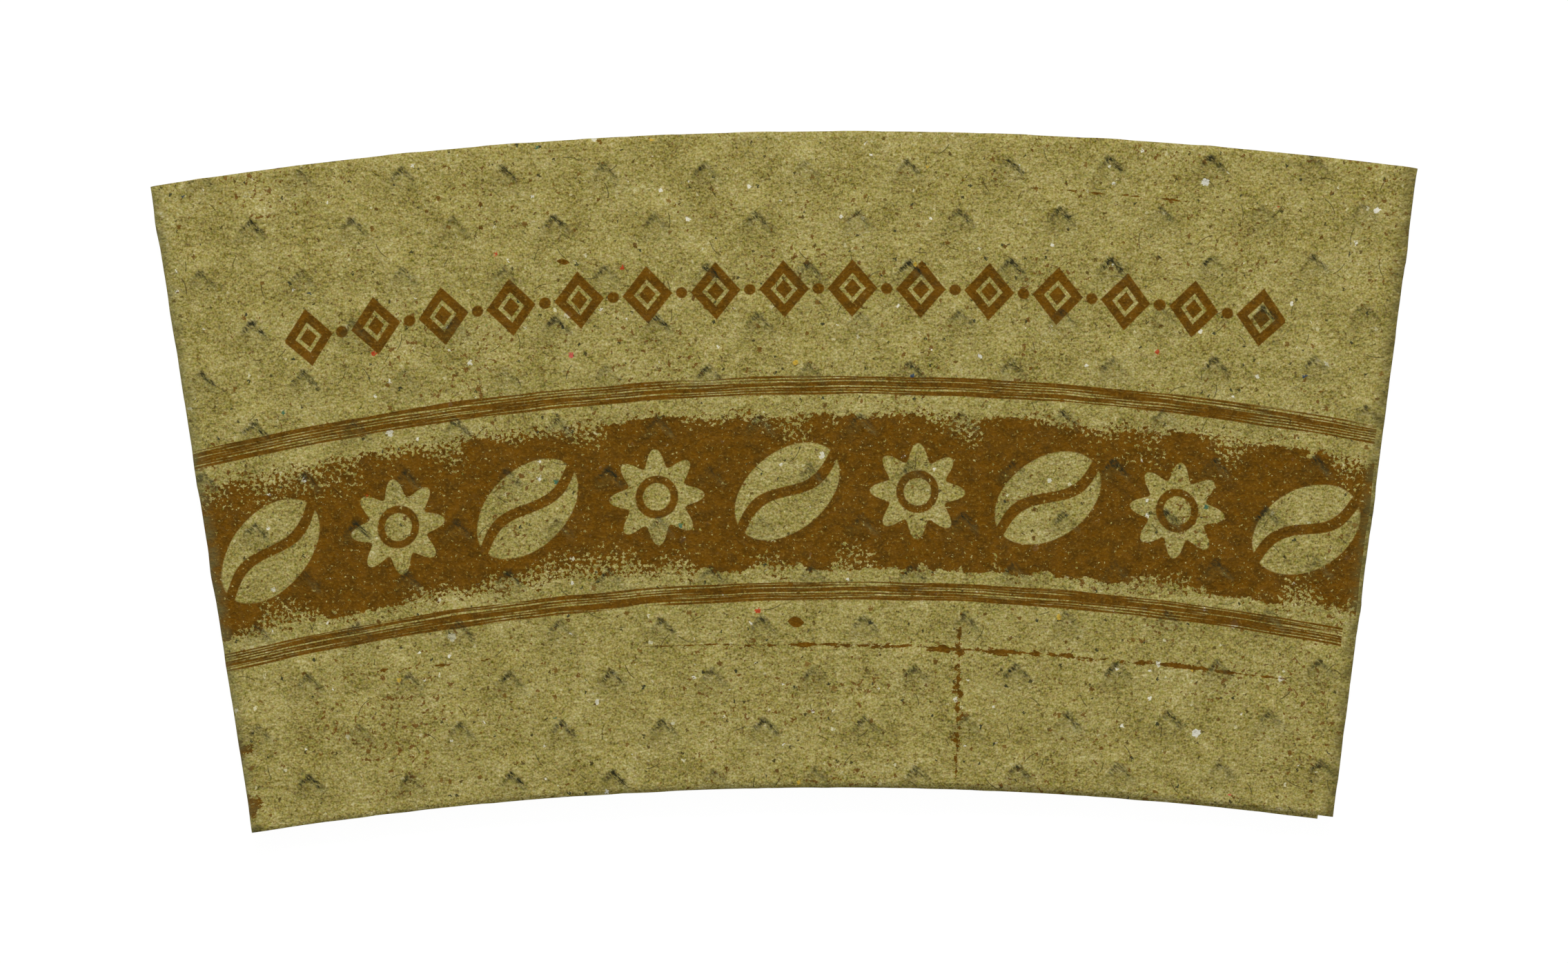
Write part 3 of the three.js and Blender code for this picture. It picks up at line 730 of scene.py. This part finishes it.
printedFace = makeBoard("printedKraftChipboard", True, 0)
insideFace = makeBoard("plainKraftChipboard", False, 0)
cutEdge = makeBoard("cutChipboardEdge", False, 0.12)
for material in (printedFace, insideFace, cutEdge):
    sleeveMesh.materials.append(material)

# Clear dried glue over pulp: a dull amber film, hardly seen between the layers
driedGlue = bpy.data.materials.new("driedGlue")
driedGlue.use_nodes = True
glueTree = driedGlue.node_tree
glueTree.nodes.clear()
glueCoat = addNode(glueTree, "TexNoise",
                   {"Vector": addNode(glueTree, "TexCoord", output="Object"), "Scale": 900.0})
glueColor = addNode(glueTree, "Mix", {0: glueCoat, 6: hexColor("#8A7A45"), 7: hexColor("#A08F58")}, 2,
                    data_type="RGBA")
addNode(glueTree, "OutputMaterial",
        {0: addNode(glueTree, "BsdfPrincipled", {"Base Color": glueColor, "Roughness": 0.5})})
padMesh.materials.append(driedGlue)
print("materials made")

# Camera straight above, turned as the photograph is
view = {
    "frameWidth": 155.6,                   # mm across the picture
    "lens": 300.0,
    "sensor": 36.0,
    "lookAt": (-0.45, -0.2),
    "lookHeight": 3.5,                     # mm, about the front panel's height
    "roll": math.radians(-0.85),
}
cameraData = bpy.data.cameras.new("camera")
cameraData.lens = view["lens"]
cameraData.sensor_width = view["sensor"]
cameraData.clip_start = 0.01
camera = bpy.data.objects.new("camera", cameraData)
bpy.context.collection.objects.link(camera)
above = view["frameWidth"] * view["lens"] / view["sensor"]
camera.location = Vector((*view["lookAt"], above + view["lookHeight"])) * mm
camera.rotation_euler = (0, 0, view["roll"])
bpy.context.scene.camera = camera

# White floor that shows white to the camera and keeps a soft shadow
room = {
    "floorSize": 3.0,
    "floorGap": 0.02,                      # mm below the sleeve
    "floorGlow": 1.08,
    "shadowShare": 0.12,                   # how much of the floor's own shading the camera sees
    "worldLevel": 0.5,
    "keyPower": 4.5,
    "keySize": 0.35,
    "keyPlace": (0.03, 0.62, 0.60),
}
floorShape = bmesh.new()
bmesh.ops.create_grid(floorShape, x_segments=1, y_segments=1, size=room["floorSize"] / 2)
floorMesh = bpy.data.meshes.new("floor")
floorShape.to_mesh(floorMesh)
floorShape.free()
floor = bpy.data.objects.new("floor", floorMesh)
bpy.context.collection.objects.link(floor)
floor.location.z = cadLow.z - room["floorGap"] * mm
whiteFloor = bpy.data.materials.new("whiteTable")
whiteFloor.use_nodes = True
floorTree = whiteFloor.node_tree
floorTree.nodes.clear()
rays = addNode(floorTree, "LightPath", output=None)
seen = addNode(floorTree, "Math", {0: rays.outputs["Is Camera Ray"], 1: rays.outputs["Is Glossy Ray"]},
               operation="MAXIMUM")
seen = addNode(floorTree, "Math", {0: seen, 1: rays.outputs["Is Transmission Ray"]}, operation="MAXIMUM")
lit = addNode(floorTree, "BsdfDiffuse", {"Color": hexColor("#F4F4F4")})
glow = addNode(floorTree, "Emission", {"Color": (1, 1, 1, 1), "Strength": room["floorGlow"]})
bright = addNode(floorTree, "MixShader", {0: room["shadowShare"], 1: glow, 2: lit})
shown = addNode(floorTree, "MixShader", {0: seen, 1: lit, 2: bright})
addNode(floorTree, "OutputMaterial", {0: shown})
floorMesh.materials.append(whiteFloor)

world = bpy.data.worlds.new("world")
bpy.context.scene.world = world
world.use_nodes = True
worldTree = world.node_tree
worldTree.nodes.clear()
rays = addNode(worldTree, "LightPath", output=None)
seen = addNode(worldTree, "Math", {0: rays.outputs["Is Camera Ray"], 1: rays.outputs["Is Glossy Ray"]},
               operation="MAXIMUM")
level = addNode(worldTree, "MapRange", {0: seen, 1: 0, 2: 1, 3: room["worldLevel"], 4: 1.0})
addNode(worldTree, "OutputWorld",
        {0: addNode(worldTree, "Background", {"Color": (1, 1, 1, 1), "Strength": level})})

keyData = bpy.data.lights.new("softKey", "AREA")
keyData.energy = room["keyPower"]
keyData.size = room["keySize"]
key = bpy.data.objects.new("softKey", keyData)
bpy.context.collection.objects.link(key)
key.location = room["keyPlace"]
key.rotation_euler = (-Vector(room["keyPlace"])).to_track_quat("-Z", "Y").to_euler()

bpy.context.scene.view_settings.view_transform = "Standard"
print("camera, floor and lights made")
